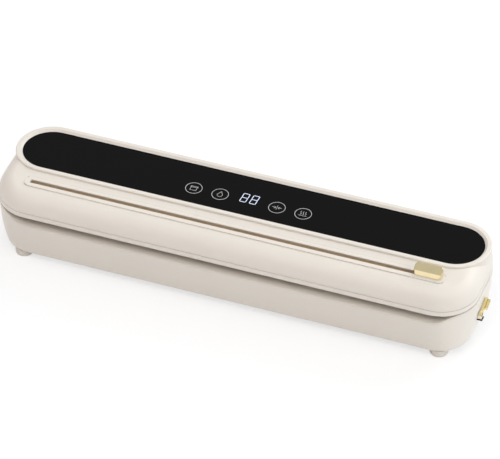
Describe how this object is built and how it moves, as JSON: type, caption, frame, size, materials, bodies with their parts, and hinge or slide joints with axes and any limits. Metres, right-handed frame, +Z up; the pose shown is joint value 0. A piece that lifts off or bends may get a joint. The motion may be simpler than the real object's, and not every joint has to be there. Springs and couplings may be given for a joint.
{
  "type": "vacuum sealer",
  "caption": "Long low kitchen vacuum bag sealer: hinged lid with black glass touch panel, front bag cutter sliding in a rail, side lock lever, seal bar and vacuum chamber.",
  "frame": {"origin": "on the table, under the middle of the bounding box", "axes": "+X along the case towards the lock lever's end, +Y from the front with the bag mouth to the hinges, +Z up"},
  "size_m": [0.3828, 0.0938, 0.0705],
  "materials": {
    "case_plastic": "satin cream",
    "rail_plastic": "satin cream",
    "cover_plastic": "fine texture",
    "panel_glass": "polished black",
    "gold": "satin gold",
    "foot_rubber": "matte cream",
    "seal_foam": "matte",
    "press_rubber": "matte",
    "heat_resin": "matte",
    "heater_metal": "rolled",
    "heater_tape": "woven, slick",
    "steel": "ground",
    "dark_steel": "black oxide",
    "inner_plastic": "moulded",
    "soft_rubber": "matte",
    "guard_rubber": "matte black",
    "tray_plastic": "smooth",
    "circuit_board": "lacquered",
    "component": "wrapped",
    "display": "smooth"
  },
  "bodies": {
    "base": {"base_shell": "case_plastic", "base_deck": "case_plastic", "bag_ledge": "case_plastic", "bottom_cover": "cover_plastic", "feet": "foot_rubber", "bottom_screws": "steel", "hinge_pins": "steel", "lever_guard": "guard_rubber", "vacuum_tray": "tray_plastic", "tray_base": "tray_plastic", "lower_seal": "seal_foam", "heater_bar": "heat_resin", "heating_strip": "heater_metal", "heater_tape": "heater_tape", "pump_motor": "steel", "pump_head": "inner_plastic", "pump_mount": "soft_rubber", "air_hose": "soft_rubber", "vacuum_port": "inner_plastic", "power_board": "circuit_board", "transformer": "component", "capacitors": "component", "power_inlet": "inner_plastic", "inlet_pins": "steel", "lid_switch": "inner_plastic"},
    "lid": {"lid_cover": "case_plastic", "lid_frame": "case_plastic", "lid_screws": "steel", "lid_catches": "steel", "upper_seal": "seal_foam", "press_strip": "press_rubber", "control_glass": "panel_glass", "touch_board": "circuit_board", "touch_pads": "soft_rubber", "display_module": "display", "cutter_rail": "rail_plastic"},
    "cutter": {"cutter_knob": "gold", "cutter_carriage": "inner_plastic", "cutter_blade": "steel", "cutter_screw": "steel"},
    "lock": {"lock_lever": "gold", "lever_screw": "dark_steel", "lock_shaft": "steel", "lock_hooks": "steel"},
    "plunger": {"switch_plunger": "inner_plastic"}
  },
  "joints": [
    {"name": "lid_hinge", "type": "hinge", "parent": "base", "child": "lid", "pos_m": [0, 0.0443, 0.0465], "axis": [-1, 0, 0], "range_deg": [0, 75]},
    {"name": "cutter_slide", "type": "slide", "parent": "lid", "child": "cutter", "axis": [1, 0, 0], "range_m": [-0.306, 0]},
    {"name": "lock_turn", "type": "hinge", "parent": "base", "child": "lock", "pos_m": [0, -0.0117, 0.0256], "axis": [-1, 0, 0], "range_deg": [0, 20]},
    {"name": "switch_press", "type": "slide", "parent": "base", "child": "plunger", "axis": [0, 0, 1], "range_m": [-0.0011, 0], "stiffness_N_per_m": 60, "springref_m": 0.001}
  ]
}
